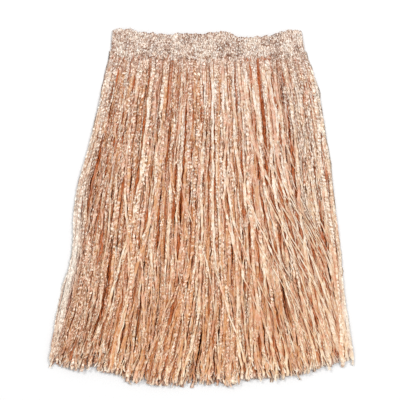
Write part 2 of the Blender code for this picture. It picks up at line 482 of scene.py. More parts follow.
for width, shade, crimp, painted_darkness, *route in STRAYS:
    route = np.array(route, float)
    left, right = along(FAN, route[0, 0], 1), along(FAN, route[0, 0], 2)
    place = np.clip((route[0, 1] - left) / (right - left), 0.015, 0.985)
    side = int(place * HANKS)
    stray = Ribbon(
        "top", ("front", side), np.full(60, place), 0.0, width, 1.2, 1, end=route[-1, 0]
    )
    bend = np.interp(stray.down, route[:, 0], route[:, 1])
    for _ in range(4):
        bend[1:-1] = 0.25 * bend[:-2] + 0.5 * bend[1:-1] + 0.25 * bend[2:]
    begins = smooth_step((stray.down - route[0, 0]) / 60.0)
    stray.x = stray.x * (1 - begins) + bend * begins
    stray.shade, stray.strand_shade = shade, painted_darkness
    stray.crimp = np.clip(crimp + 0.3 * (stray.crimp - stray.crimp.mean()), 0.03, 1.5)
    stray.lay()
    ribbons.append(stray)


# ------------------------------------------------------------------ pressing the pile
def blurred(field, rows, cols):
    """The field averaged over a window, so that it shows only the pile's large form."""
    out = field.copy()
    for axis, size in ((0, rows), (1, cols)):
        for _ in range(2):
            padded = np.pad(out, [(size, size) if a == axis else (0, 0) for a in (0, 1)], mode="edge")
            total = np.cumsum(padded, axis=axis)
            width = 2 * size
            if axis == 0:
                out = (total[width:] - total[:-width])[: field.shape[0]] / width
            else:
                out = (total[:, width:] - total[:, :-width])[:, : field.shape[1]] / width
    return out


def sampled(field, x, down):
    r = np.clip(down / ROW, 0, HEIGHT.shape[0] - 1.001)
    c = np.clip((x - X_LOW) / COLUMN, 0, HEIGHT.shape[1] - 1.001)
    r0, c0 = r.astype(int), c.astype(int)
    fr, fc = r - r0, c - c0
    return (
        field[r0, c0] * (1 - fr) * (1 - fc)
        + field[r0 + 1, c0] * fr * (1 - fc)
        + field[r0, c0 + 1] * (1 - fr) * fc
        + field[r0 + 1, c0 + 1] * fr * fc
    )


GRID_DOWN = ROW_DOWN[:, None] + np.zeros((1, HEIGHT.shape[1]))
GRID_X = X_LOW + COLUMN * np.arange(HEIGHT.shape[1])[None, :] + np.zeros((HEIGHT.shape[0], 1))
EDGE_L, EDGE_R = plan(np.zeros_like(ROW_DOWN), ROW_DOWN)[0], plan(np.ones_like(ROW_DOWN), ROW_DOWN)[0]
GRID_ACROSS = np.clip((GRID_X - EDGE_L[:, None]) / (EDGE_R - EDGE_L)[:, None], 0, 1)
WANTED = pile_top(GRID_ACROSS, GRID_DOWN)
FILLED = blurred((HEIGHT > 0).astype(float), 4, 8) + 1e-3
FULL = blurred(HEIGHT, 4, 8) / FILLED
PRESS_TOP = np.clip(WANTED / np.maximum(FULL, 2.0), 0.18, 1.15)


def pressed(x, down, z):
    """Heights in the finished pile: the same order, at the thickness wanted at that place, and
    packed closer towards the top."""
    full = np.maximum(sampled(FULL, x, down), 2.0)
    close = 0.6 + 0.5 * smooth_step((down - 380.0) / 220.0)
    packed = full * (1.0 + close) * z / (full + close * z)
    return 0.25 + sampled(PRESS_TOP, x, down) * packed


def walls(field, reach, fall):
    """How high the pile stands on the two sides of each point, on the left and on the right:
    the highest within reach, each column of distance counting for less."""
    count = field.shape[1]
    padded = np.pad(field, [(0, 0), (reach, reach)], mode="edge")
    left = np.max([padded[:, reach - k : reach - k + count] - fall * k for k in range(1, reach + 1)], axis=0)
    right = np.max([padded[:, reach + k : reach + k + count] - fall * k for k in range(1, reach + 1)], axis=0)
    return left, right


FINISHED = pressed(GRID_X, GRID_DOWN, HEIGHT)
# how high the pile stands beside each point, for the painted shade of ribbons that lie low
LEFT_WALL, RIGHT_WALL = walls(HEIGHT, 12, 0.22)
CREST = np.minimum(LEFT_WALL, RIGHT_WALL)
RIM = 0.5 * (LEFT_WALL + RIGHT_WALL)
# below a step down in the pile, where the ribbons on top have been cut; the painted shadow of those cut ends goes there
ABOVE = np.maximum(np.roll(FINISHED, 1, axis=0), np.roll(FINISHED, 2, axis=0)) * (GRID_DOWN > 600)

# ------------------------------------------------------------------ ribbon meshes
RINGS = {  # across the ribbon, up from its underside
    "top": np.array([(-1.00, 0.30), (-0.58, 0.88), (-0.06, 0.52), (0.46, 1.00), (1.00, 0.34), (0.0, 0.0)]),
    "under": np.array([(-1.00, 0.35), (-0.45, 0.95), (0.45, 0.85), (1.00, 0.30), (0.0, 0.00)]),
    "back": np.array([(-1.00, 0.30), (0.0, 1.00), (1.00, 0.30), (0.0, 0.00)]),
}
PLEAT = {"top": 2.35, "under": 3.8, "back": 14.0}     # spacing of a ribbon's stations in sight
BURIED = {"top": 16.0, "under": 24.0, "back": 30.0}   # and where other ribbons cover it


def stations(rib, rng):
    """Places along a ribbon: close together where it shows, far apart where it is covered."""
    top = rib.low[:, None] + rib.thick[:, None] * (0.92 - 0.45 * FOOT[None] ** 2)
    here = sampled(HEIGHT, rib.x[:, None] + FOOT[None] * rib.half[:, None], rib.down[:, None] + 0 * FOOT[None])
    shows = (top > here - 0.4).sum(axis=1) >= 2
    shows = shows | np.r_[shows[1:], False] | np.r_[False, shows[:-1]]
    shows[:2] = shows[-2:] = True
    step = np.where(shows, PLEAT[rib.layer], BURIED[rib.layer])
    pace = np.r_[0, np.cumsum(np.diff(rib.down) * 0.5 * (1 / step[1:] + 1 / step[:-1]))]
    count = max(int(round(pace[-1])), 8) + 1
    at = np.linspace(0, pace[-1], count)
    at[1:-1] += rng.uniform(-0.22, 0.22, count - 2)
    return np.interp(at, pace, rib.down)


TUFT_WAVES = [
    (RNG.uniform(14.0, 34.0), RNG.uniform(70.0, 190.0) * RNG.choice([-1, 1]), RNG.uniform(), RNG.uniform(0.7, 1.2))
    for _ in range(16)
]


CRUSHED = (  # x, down, half width, half length, how pale (or, below nought, how tawny, with painted shade added there)
    (-99.0, 455.0, 9.0, 45.0, 1.6),
    (-222.0, 460.0, 12.0, 45.0, 1.2),
    (208.0, 215.0, 12.0, 40.0, 0.8),
    (232.0, 320.0, 9.0, 45.0, 0.6),
    (118.0, 110.0, 7.0, 70.0, 0.7),
    (170.0, 547.0, 8.0, 30.0, 0.8),
    (178.0, 392.0, 8.0, 35.0, 0.8),
    (-81.0, 190.0, 8.0, 35.0, 0.9),
    (162.0, 133.0, 7.0, 30.0, 0.8),
    (-47.0, 341.0, 7.0, 35.0, 0.6),
    (261.0, 287.0, 6.0, 40.0, 0.6),
    (16.0, 190.0, 6.0, 35.0, 0.7),
    (-182.0, 230.0, 9.0, 40.0, 0.7),
    (206.0, 355.0, 12.0, 60.0, 1.1),
    (172.0, 476.0, 26.0, 40.0, 1.1),
    (253.0, 560.0, 10.0, 50.0, 0.8),
    (182.0, 151.0, 10.0, 35.0, 1.0),
    (-178.0, 130.0, 12.0, 35.0, 1.0),
    (-123.0, 75.0, 14.0, 20.0, 0.9),
    (42.0, 262.0, 5.0, 60.0, 1.1),
    (-10.0, 300.0, 5.0, 50.0, 0.8),
    (-240.0, 590.0, 9.0, 50.0, 0.8),
    (-212.0, 545.0, 6.0, 45.0, 0.9),
    (-188.0, 625.0, 6.0, 30.0, 0.9),
    (104.0, 480.0, 5.0, 40.0, 0.7),
    (204.0, 204.0, 7.0, 25.0, 0.6),
    (-280.0, 555.0, 8.0, 40.0, 0.6),
    (86.0, 510.0, 5.0, 30.0, 0.6),
    (192.0, 562.0, 6.0, 25.0, 0.5),
    (202.0, 222.0, 6.0, 25.0, 0.6),
    (20.0, 610.0, 14.0, 60.0, -0.6),
    (119.0, 605.0, 12.0, 50.0, -1.0),
    (184.0, 655.0, 10.0, 26.0, -1.0),
    (152.0, 560.0, 16.0, 38.0, -1.0),
    (107.0, 300.0, 8.0, 60.0, -0.9),
    (99.0, 492.0, 9.0, 40.0, -0.9),
    (-47.0, 541.0, 8.0, 40.0, -0.8),
    (-95.0, 669.0, 9.0, 20.0, -0.9),
    (79.0, 270.0, 7.0, 55.0, -0.7),
    (117.0, 569.0, 9.0, 30.0, -0.9),
    (44.0, 84.0, 6.0, 20.0, -0.8),
    (47.0, 288.0, 6.0, 40.0, -0.7),
    (-208.0, 181.0, 6.0, 40.0, -0.6),
    (-292.0, 625.0, 9.0, 25.0, -0.7),
    (77.0, 523.0, 8.0, 40.0, -0.7),
    (182.0, 244.0, 8.0, 35.0, -0.6),
    (-169.0, 395.0, 7.0, 60.0, 0.9),
    (210.0, 620.0, 10.0, 30.0, 0.8),
    (-32.0, 335.0, 8.0, 50.0, -1.0),
    (-40.0, 430.0, 12.0, 60.0, -0.5),
    (60.0, 470.0, 12.0, 60.0, -0.5),
    (109.0, 235.0, 8.0, 60.0, -0.7),
    (108.0, 470.0, 9.0, 60.0, -0.9),
    (137.0, 190.0, 8.0, 70.0, -0.6),
    (210.0, 283.0, 7.0, 30.0, -0.6),
    (142.0, 585.0, 8.0, 40.0, -0.6),
)


def tufts(x, down):
    """Longish patches, one to two centimetres wide, in which neighbouring ribbons are alike:
    crushed and pale in some, smooth and tawny in others."""
    drift = 7.0 * np.sin(down / 83.0 + x / 61.0)
    total = np.zeros_like(x)
    for across, length, phase, weight in TUFT_WAVES:
        total += weight * np.sin(2 * math.pi * ((x + drift) / across + down / length + phase))
    marked = np.zeros_like(x)
    for x0, down0, wide, far, strength in CRUSHED:
        marked += strength * np.exp(-(((x - x0) / wide) ** 2) - ((down - down0) / far) ** 2)
    return np.clip(np.clip(total / 2.7, -1.4, 1.4) + 1.4 * marked, -1.8, 2.2), np.clip(marked, -1.2, 1.2)


def knit_top(x):
    """Height of the waistband's stitches above the floor, in front, along its lower edge."""
    left, right = along(FAN, 54.0, 1), along(FAN, 54.0, 2)
    across = np.clip((x - left) / (right - left), 0, 1)
    arch = BAND_ARCH * crowned(across, 8.0)
    return BACK_BAND_TOP + SEAM_GAP + arch + 0.5 * BAND_WALL + 2.2


def ribbon_mesh(rib, rng):
    """Points, faces, map coordinates and tones of one ribbon."""
    even = stations(rib, rng)
    down, x, half, thick, low, share, turn, crimp = (
        np.interp(even, rib.down, getattr(rib, name))
        for name in ("down", "x", "half", "thick", "low", "share", "turn", "crimp")
    )
    ring = RINGS[rib.layer].copy()
    if rng.uniform() < 0.5:
        ring = ring[::-1] * np.array([-1.0, 1.0])
    n, m = len(down), len(ring)
    u = np.repeat(ring[None, :, 0], n, 0)
    v = np.repeat(ring[None, :, 1], n, 0)
    up = v > 0.2
    # cross pleats: each station is a crest or a trough, and the two halves often disagree
    tuft, marked = tufts(x, down)
    rim_left, rim_right = plan(np.zeros(n), down)[0], plan(np.ones(n), down)[0]
    film = np.clip(1.5 - (x - rim_left) / 16.0, 0, 1) * np.exp(-(((down - 475.0) / 140.0) ** 2))
    film = np.maximum(film, np.clip(1.5 - (rim_right - x) / 8.0, 0, 1) * np.exp(-(((down - 580.0) / 60.0) ** 2)))
    crimp = np.clip(crimp * (1.0 + 0.45 * tuft) + 0.2 * film, 0.03, 1.5)
    depth = crimp[:, None]
    run = np.r_[0, np.cumsum(np.hypot(np.diff(down), np.diff(x)))]
    period = rng.uniform(8.0, 12.0) if rng.uniform() < 0.5 else rng.uniform(5.0, 8.0)
    period = 4.9 + (period - 4.9) * smooth_step((down - 60.0) / 110.0)
    period = period * np.exp(0.30 * wave(share, 55.0, 4))
    beat = np.r_[0, np.cumsum(np.diff(run) * 2 * math.pi / period[1:])]
    twist = rng.uniform(-1.4, 1.4)
    strength = np.clip(0.7 + 0.5 * wave(share, 40.0, 3), 0.1, 1.5)[:, None]
    bead = strength * np.sin(beat[:, None] + twist * ring[None, :, 0]) + rng.normal(0, 0.45, (n, m))
    if rib.layer == "top":
        v = v + up * depth * (0.26 * bead + rng.normal(0, 0.22, (n, m)))
        u = u * (1 + 0.14 * depth * np.sin(beat)[:, None]) + rng.normal(0, 0.08, (n, m)) * (0.4 + depth)
    else:
        v = v + up * rng.normal(0, 0.22, (n, m)) * (0.4 + depth)
        u = u + rng.normal(0, 0.09, (n, m))
    v = v + 0.26 * u * np.tanh(turn)[:, None]
    v = np.maximum(v, 0.0)
    slope = np.gradient(x, down)
    length = np.sqrt(1 + slope ** 2)
    px = x[:, None] + u * half[:, None] / length[:, None]
    pdown = down[:, None] + u * half[:, None] * (slope / length)[:, None]
    pdown[0] = down[0]
    # a blunt, slightly slanting cut
    pdown[-1] = down[-1] + u[-1] * half[-1] * rng.uniform(-0.5, 0.5)
    pz = pressed(x, down, low)[:, None] + v * thick[:, None] * 0.8
    if rib.over_knit:
        edge = along(BAND_EDGE, 0.5) + 6.0
        rise = np.clip((down - down[0]) / (edge - down[0]), 0, 1)[:, None]
        lying = knit_top(x)[:, None] - 1.6 + 2.0 * np.sin(math.pi * np.clip(rise * 1.3, 0, 1)) + v * thick[:, None] * 0.6
        held = 1 - smooth_step((down[:, None] - edge + 8.0) / 16.0)
        pz = np.where(held > 0, np.maximum(pz, held * lying + (1 - held) * pz), pz)
    pz = np.where(pz > 17.5, 17.5 + 3.2 * np.tanh((pz - 17.5) / 3.2), pz)
    points = np.stack([px, SKIRT_LENGTH / 2 - pdown, pz], axis=-1).reshape(-1, 3)
    # painted shade: a ribbon lying low between higher ones, and one lying beside a higher one, takes a darker rust tone
    # in place of the shadow and inter-reflection there
    raw = low[:, None] + v * thick[:, None]
    painted_shade = np.clip((sampled(CREST, px, pdown) - raw - 1.5) / 5.5, 0, 1) ** 1.1
    painted_shade = np.maximum(painted_shade, 0.38 * np.clip((sampled(RIM, px, pdown) - raw - 1.0) / 6.0, 0, 1))
    # painted shade on the underside of each ribbon
    shaded = {"top": 0.45, "under": 0.35, "back": 0.0}[rib.layer]
    painted_shade = np.maximum(painted_shade, shaded * (ring[None, :, 1] < 0.2))
    painted_shade = painted_shade * (1.40 - 0.40 * smooth_step((down[:, None] - 90.0) / 200.0))
    painted_shade = painted_shade * (1 - 0.14 * smooth_step((down[:, None] - 400.0) / 200.0))
    painted_shade = painted_shade * (0.35 + 0.65 * smooth_step((down[:, None] - 54.0) / 11.0))
    # painted shadow below the cut ends of the ribbons on top
    painted_shade = np.maximum(painted_shade, 0.8 * np.clip((sampled(ABOVE, px, pdown) - pz - 2.0) / 2.6, 0, 1))
    # less painted shade at pale marks and whitish film, more at tawny marks
    painted_shade = painted_shade * (1 - 0.5 * np.clip(marked, 0, 1) - 0.3 * film)[:, None]
    painted_shade = painted_shade + (0.32 * np.clip(-marked, 0, 1))[:, None] * (0.3 + 0.7 * (ring[None, :, 1] < 0.6))
    near_rim = np.minimum(x - rim_left, rim_right - x)[:, None]
    painted_shade = painted_shade * np.clip(near_rim / 9.0 - 0.2, 0.0, 1.0)
    # painted shade on the dark loose strand, which lies in shadow
    painted_shade = np.maximum(painted_shade, rib.strand_shade * smooth_step((down - 430.0) / 60.0)[:, None])
    knitted = 1 - smooth_step((down - 56.0 - 14.0 * rng.uniform()) / 36.0)[:, None]
    painted_shade = painted_shade * (1 - 0.30 * knitted)
    # painted shade on the ribbon's sides and underside, less at its pale cut end and along the skirt's rim
    edge = np.where(np.abs(ring[:, 0]) > 0.9, 1.0, np.where(ring[:, 1] < 0.2, 1.0, np.where(ring[:, 1] < 0.6, 0.35, 0.0)))
    place = np.zeros((n, m, 4))
    # the ribbons of the left side, and a few at the right, are greyer, as those near the knit are
    greyer = 0.6 * np.clip((-x - 170.0) / 60.0, 0, 1) + 0.15 * np.clip((x - 240.0) / 25.0, 0, 1)
    place[..., 0] = np.maximum(knitted, greyer[:, None])
    pale = rng.uniform(0.3, 1.0) * smooth_step((down - down[-1] + 14.0) / 14.0)[:, None]
    outermost = np.clip(1.5 - np.minimum(x - rim_left, rim_right - x) / 6.0, 0, 1)[:, None]
    place[..., 1] = edge[None, :] * (1 - 0.6 * pale) * (1 - 0.75 * outermost)
    place[..., 3] = np.maximum(pale, 1.5 * film[:, None] * (1 - rib.strand_shade))
    place[..., 2] = np.clip(down / 700.0, 0, 1)[:, None]
    tone = np.empty((n, m, 4))
    tip = smooth_step((down - down[-1] + 16.0) / 16.0)[:, None]
    painted_shade = painted_shade * (1 - 0.5 * tip)
    own = rib.shade + 0.35 * tip
    own = own + (0.08 * wave(share, 3.0, 2) + 0.12 * wave(share, 34.0, 4) + 0.20 * tuft)[:, None]
    tone[..., 0] = np.clip(own, 0, 1)
    # green holds the painted shade; alpha holds the crest or trough of a pleat, for painted highlights and painted
    # shade
    tone[..., 1] = painted_shade
    tone[..., 2] = np.clip(crimp / 1.5, 0, 1)[:, None]
    tone[..., 3] = np.clip(0.5 + 0.5 * bead, 0, 1)

    i = np.arange(n - 1)[:, None] * m
    j = np.arange(m)[None, :]
    k = (j + 1) % m
    quads = np.stack([i + j, i + k, i + m + k, i + m + j], axis=-1).reshape(-1, 4)
    around = np.cumsum(np.r_[0, np.hypot(*np.diff(np.vstack([ring, ring[:1]]) * [3.2, 1.8], axis=0).T)])
    lengthwise = np.r_[0, np.cumsum(np.hypot(np.diff(down), np.diff(x)))]
    return points, quads, around, lengthwise, n, m, tone.reshape(-1, 4), place.reshape(-1, 4)


def build_piece(name, group, rng):
    """One mesh of all the ribbons of a hank, with its map for patterns and its map for painting."""
    points, quads, caps, maps, sheet, tones, places, flat = [], [], [], [], [], [], [], []
    offset = 0
    count = len(group)
    for at, rib in enumerate(group):
        p, q, around, lengthwise, n, m, tone, place = ribbon_mesh(rib, rng)
        points.append(p)
        quads.append(q + offset)
        first = offset + np.arange(m)[::-1]
        last = offset + (n - 1) * m + np.arange(m)
        caps.append((first, last))
        shift = rng.uniform(0, 400, 2)
        a0 = np.repeat(np.arange(m)[None], n - 1, 0)
        l0 = np.repeat(np.arange(n - 1)[:, None], m, 1)
        ca = np.stack([a0, a0 + 1, a0 + 1, a0], -1).reshape(-1, 4)
        cl = np.stack([l0, l0, l0 + 1, l0 + 1], -1).reshape(-1, 4)
        maps.append(
            np.stack([(around[ca] + shift[0]) * MM, (lengthwise[cl] + shift[1]) * MM], -1).reshape(-1, 2)
        )
        sheet.append(
            np.stack(
                [(at + 0.04 + 0.92 * around[ca] / around[-1]) / count, 0.002 + 0.990 * lengthwise[cl] / 680.0],
                -1,
            ).reshape(-1, 2)
        )
        flat.append(np.full(len(q), rib.layer == "top"))
        tones.append(tone)
        places.append(place)
        offset += n * m
    points = np.concatenate(points)
    quads = np.concatenate(quads)
    tones = np.concatenate(tones)
    maps = np.concatenate(maps)
    sheet = np.concatenate(sheet)
    cap_sizes = [len(c) for pair in caps for c in pair]
    cap_index = np.concatenate([c for pair in caps for c in pair])
    me = bpy.data.meshes.new(name)
    me.vertices.add(len(points))
    me.vertices.foreach_set("co", (points * MM).astype(np.float32).ravel())
    loops = np.concatenate([quads.ravel(), cap_index])
    sizes = np.concatenate([np.full(len(quads), 4), cap_sizes]).astype(np.int32)
    starts = np.concatenate([[0], np.cumsum(sizes)[:-1]]).astype(np.int32)
    me.loops.add(len(loops))
    me.loops.foreach_set("vertex_index", loops.astype(np.int32))
    me.polygons.add(len(sizes))
    me.polygons.foreach_set("loop_start", starts)
    me.update(calc_edges=True)
    for label, data in (("ribbon", maps), ("OFBake", sheet)):
        layer = me.uv_layers.new(name=label)
        full = np.zeros((len(loops), 2))
        full[: len(data)] = data
        if label == "ribbon":
            full[len(data) :] = points[cap_index][:, :2] * MM
        else:
            full[len(data) :] = 0.0005 + 0.001 * (points[cap_index][:, :2] % 1.0)
        layer.data.foreach_set("uv", full.astype(np.float32).ravel())
    for label, data in (("tone", tones), ("place", np.concatenate(places))):
        attr = me.attributes.new(label, "FLOAT_COLOR", "POINT")
        attr.data.foreach_set("color", data.astype(np.float32).ravel())
    smooth = np.r_[~np.concatenate(flat), np.zeros(len(cap_sizes), bool)]
    me.polygons.foreach_set("use_smooth", smooth)
    me.validate()
    obj = bpy.data.objects.new(name, me)
    bpy.context.scene.collection.objects.link(obj)
    return obj


# ------------------------------------------------------------------ materials
def new_material(name):
    mat = bpy.data.materials.new(name)
    mat.use_nodes = True
    nt = mat.node_tree
    shader = nt.nodes["Principled BSDF"]
    return mat, nt, shader


def node(nt, kind, inputs=None, **settings):
    made = nt.nodes.new(kind)
    for key, value in settings.items():
        setattr(made, key, value)
    for key, value in (inputs or {}).items():
        made.inputs[key].default_value = value
    return made


def raffia_material(name, stops, shade_colour, lowest_shade_colour, highlight_strength, cell):
    """Crushed plastic ribbon.  The tone attribute holds the ribbon's own shade (red), the painted
    shade that it takes where it lies low in the pile (green), how strongly it is crimped (blue)
    and whether this is the crest or the trough of a cross pleat (alpha), which sets the painted
    highlights on crests and painted shade in troughs.  The place attribute holds how near this
    is to the knit (red), how near to the ribbon's edge, where its sides and underside get painted
    shade (green), how far down the skirt (blue) and how frayed and pale its cut end is (alpha)."""
    mat, nt, shader = new_material(name)
    link = nt.links.new

    def maths(operation, first, second=None, clamp=False):
        made = node(nt, "ShaderNodeMath", operation=operation, use_clamp=clamp)
        for socket, value in zip(made.inputs, (first, second)):
            if value is None:
                continue
            if isinstance(value, float):
                socket.default_value = value
            else:
                link(value, socket)
        return made.outputs[0]

    def mixed(kind, factor, first, second):
        made = node(nt, "ShaderNodeMix", data_type="RGBA", blend_type=kind)
        for socket, value in (("Factor", factor), ("A", first), ("B", second)):
            if isinstance(value, tuple):
                made.inputs[socket].default_value = (*value, 1.0)
            elif isinstance(value, float):
                made.inputs[socket].default_value = value
            else:
                link(value, made.inputs[socket])
        return made.outputs["Result"]

    def mapped(scale):
        made = node(nt, "ShaderNodeMapping")
        made.inputs["Scale"].default_value = (*scale, 1.0)
        link(uv.outputs["UV"], made.inputs["Vector"])
        return made.outputs["Vector"]

    def noise(scale, detail=2.0):
        made = node(nt, "ShaderNodeTexNoise", {"Scale": 1.0, "Detail": detail, "Roughness": 0.6})
        link(mapped(scale), made.inputs["Vector"])
        return made.outputs["Fac"]

    def ranged(value, low, high, to_low, to_high):
        made = node(
            nt, "ShaderNodeMapRange",
            {"From Min": low, "From Max": high, "To Min": to_low, "To Max": to_high},
        )
        link(value, made.inputs["Value"])
        return made.outputs["Result"]

    tone = node(nt, "ShaderNodeAttribute", attribute_name="tone")
    parts = node(nt, "ShaderNodeSeparateColor")
    link(tone.outputs["Color"], parts.inputs["Color"])
    own, painted_shade, crimp, bead = parts.outputs["Red"], parts.outputs["Green"], parts.outputs["Blue"], tone.outputs["Alpha"]
    where = node(nt, "ShaderNodeSeparateColor")
    spot = node(nt, "ShaderNodeAttribute", attribute_name="place")
    link(spot.outputs["Color"], where.inputs["Color"])
    tip = spot.outputs["Alpha"]
    knitted, edge, far = where.outputs["Red"], where.outputs["Green"], where.outputs["Blue"]
    uv = node(nt, "ShaderNodeUVMap", uv_map="ribbon")

    hue = node(nt, "ShaderNodeValToRGB")
    ramp = hue.color_ramp
    while len(ramp.elements) < len(stops):
        ramp.elements.new(0.5)
    for element, (at, colour) in zip(ramp.elements, stops):
        element.position = at
        element.color = (*colour, 1.0)
    link(own, hue.inputs["Fac"])

    # crushed cells, with cross pleats over them
    cells = node(nt, "ShaderNodeTexVoronoi", {"Scale": 1.0, "Randomness": 1.0}, feature="F1", distance="EUCLIDEAN")
    link(mapped((1 / cell[0], 1 / cell[1])), cells.inputs["Vector"])
    crest = ranged(cells.outputs["Distance"], 0.05, 0.75, 1.0, 0.0)
    pleats = ranged(noise((0.25 / cell[0], 1.15 / cell[1]), 1.0), 0.30, 0.70, 0.0, 1.0)
    height = maths("ADD", maths("MULTIPLY", crest, 0.34), maths("MULTIPLY", pleats, 0.28))
    height = maths("ADD", height, maths("MULTIPLY", bead, 0.38))
    patches = ranged(noise((40.0, 34.0), 2.0), 0.36, 0.60, 0.35, 1.0)
    amount = maths("MULTIPLY", patches, maths("ADD", maths("MULTIPLY", crimp, 1.7), 0.1))
    amount = maths("ADD", amount, maths("MULTIPLY", knitted, 0.5), clamp=True)

    streaks = ranged(noise((700.0, 26.0), 3.0), 0.35, 0.70, 0.0, 0.55)
    base = mixed("MIX", maths("MULTIPLY", knitted, 0.50), hue.outputs["Color"], (0.565, 0.405, 0.33))
    level = node(nt, "ShaderNodeMix", data_type="RGBA", blend_type="MIX")
    level.inputs["A"].default_value = (0.835, 0.925, 1.03, 1.0)
    level.inputs["B"].default_value = (1.00, 1.015, 0.93, 1.0)
    link(far, level.inputs["Factor"])
    graded = node(nt, "ShaderNodeMix", data_type="RGBA", blend_type="MULTIPLY")
    graded.inputs["Factor"].default_value = 1.0
    link(base, graded.inputs["A"])
    link(level.outputs["Result"], graded.inputs["B"])
    base = graded.outputs["Result"]
    base = mixed("MULTIPLY", streaks, base, (0.82, 0.60, 0.43))
    grain = ranged(noise((470.0, 120.0), 1.5), 0.40, 0.62, 0.60, 0.0)
    base = mixed("MULTIPLY", grain, base, (0.80, 0.67, 0.57))
    # painted shade in the troughs of the pleats and crushed cells
    trough = maths("MULTIPLY", ranged(height, 0.18, 0.48, 1.0, 0.0), amount)
    base = mixed("MULTIPLY", trough, base, (0.60, 0.375, 0.25))
    # painted highlights: the crests of the pleats and crushed cells are whitened, less where painted shade lies
    painted_highlight = maths("MULTIPLY", ranged(height, 0.45, 0.66, 0.0, highlight_strength), amount)
    painted_highlight = maths("MULTIPLY", painted_highlight, ranged(painted_shade, 0.0, 0.45, 1.0, 0.15))
    highlight_colour = mixed("MIX", ranged(noise((34.0, 22.0), 1.0), 0.38, 0.62, 0.0, 1.0), (0.95, 0.90, 0.83), (1.0, 0.84, 0.69))
    highlight_colour = mixed("MIX", ranged(far, 0.15, 0.75, 0.0, 0.50), highlight_colour, (1.0, 0.83, 0.67))
    base = mixed("MIX", painted_highlight, base, highlight_colour)
    # painted shade on the ribbon's sides and underside
    base = mixed("MULTIPLY", maths("MULTIPLY", edge, 0.74), base, (0.74, 0.42, 0.25))
    # painted shade: low-lying parts take a rust tone, a redder one where they lie lowest, in place of the shadow and
    # inter-reflection there; less of it on crests
    painted_hollow_shade = mixed("MIX", ranged(painted_shade, 0.60, 1.0, 0.0, 1.0), shade_colour, lowest_shade_colour)
    painted_hollow_shade = mixed("MULTIPLY", maths("MULTIPLY", grain, 1.2), painted_hollow_shade, (0.64, 0.47, 0.37))
    covered = maths("MULTIPLY", ranged(painted_shade, 0.0, 0.85, 0.0, 0.96), ranged(height, 0.44, 0.68, 1.0, 0.80))
    base = mixed("MIX", covered, base, painted_hollow_shade)
    base = mixed("MIX", maths("MULTIPLY", tip, 0.45), base, (0.80, 0.745, 0.67))
    link(base, shader.inputs["Base Color"])

    # every crushed cell is a facet with a tilt of its own
    tilt = node(nt, "ShaderNodeVectorMath", operation="SUBTRACT")
    link(cells.outputs["Color"], tilt.inputs[0])
    tilt.inputs[1].default_value = (0.5, 0.5, 0.5)
    scaled = node(nt, "ShaderNodeVectorMath", operation="SCALE")
    link(tilt.outputs["Vector"], scaled.inputs[0])
    link(maths("MULTIPLY", amount, 1.1), scaled.inputs["Scale"])
    surface = node(nt, "ShaderNodeNewGeometry")
    turned = node(nt, "ShaderNodeVectorMath", operation="ADD")
    link(surface.outputs["Normal"], turned.inputs[0])
    link(scaled.outputs["Vector"], turned.inputs[1])
    unit = node(nt, "ShaderNodeVectorMath", operation="NORMALIZE")
    link(turned.outputs["Vector"], unit.inputs[0])
    folds = node(nt, "ShaderNodeBump", {"Strength": 0.7, "Distance": 0.0007})
    link(noise((900.0, 45.0), 2.0), folds.inputs["Height"])
    link(unit.outputs["Vector"], folds.inputs["Normal"])
    link(folds.outputs["Normal"], shader.inputs["Normal"])

    link(ranged(noise((500.0, 90.0), 2.0), 0.3, 0.7, 0.20, 0.38), shader.inputs["Roughness"])
    link(ranged(painted_shade, 0.0, 0.60, 0.5, 0.08), shader.inputs["Specular IOR Level"])
    shader.inputs["IOR"].default_value = 1.5
    return mat


RIBBON = raffia_material(
    "raffia_ribbon_look",
    (
        (0.00, (0.72, 0.39, 0.19)),
        (0.15, (0.76, 0.50, 0.29)),
        (0.35, (0.74, 0.55, 0.44)),
        (0.50, (0.84, 0.50, 0.35)),
        (0.65, (0.82, 0.61, 0.46)),
        (0.82, (0.88, 0.72, 0.53)),
        (1.00, (0.93, 0.87, 0.78)),
    ),
    # painted shade colours, then the painted highlight strength and the size of the crushed cells
    (0.46, 0.123, 0.034), (0.55, 0.146, 0.040), 1.0, (0.0040, 0.0052),
)
KNIT = raffia_material(
    "knitted_raffia_look",
    (
        (0.00, (0.34, 0.170, 0.100)),
        (0.30, (0.47, 0.273, 0.188)),
        (0.65, (0.59, 0.393, 0.285)),
        (1.00, (0.80, 0.665, 0.535)),
    ),
    # painted shade colours, then the painted highlight strength and the size of the crushed cells
    (0.36, 0.16, 0.09), (0.45, 0.19, 0.09), 0.80, (0.0026, 0.0036),
)

# ------------------------------------------------------------------ the fringe pieces
for side in ("back", "front"):
    for hank in range(HANKS):
        group = [rib for rib in ribbons if rib.hank == (side, hank)]
        piece = build_piece(f"{side}_ribbons_{hank + 1:02d}", group, np.random.default_rng(500 + hank + 100 * (side == "front")))
        piece.data.materials.append(RIBBON)
        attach(piece, "root")
        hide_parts(f"fringe_{side}_{hank + 1:02d}")


# ------------------------------------------------------------------ waistband
def gather(across, phase=0.2):
    run = GATHERS * across + 0.45 * np.sin(2 * math.pi * 2.3 * across + phase)
    depth = 0.75 + 0.25 * np.sin(2 * math.pi * 5.1 * across + 2 * phase)
    return GATHER_DEPTH * depth * np.sin(2 * math.pi * run + phase)


def fold_depth(across):
    return sum(d * np.exp(-(((across - at) / half) ** 2)) for at, half, d in BAND_FOLDS)


def scallops(across):
    """The loops along the band's top edge."""
    a = np.asarray(across) * 2 * math.pi
    return 0.8 * np.sin(31 * a + 2.0 * np.sin(7 * a)) + 0.9 * np.sin(17 * a + 1.5 * np.sin(5 * a)) + 0.4 * np.sin(59 * a)


def band_down(across, share):
    top, bottom = along(TOP_EDGE, across) + scallops(across), along(BAND_EDGE, across)
    return top + share * (bottom - top)


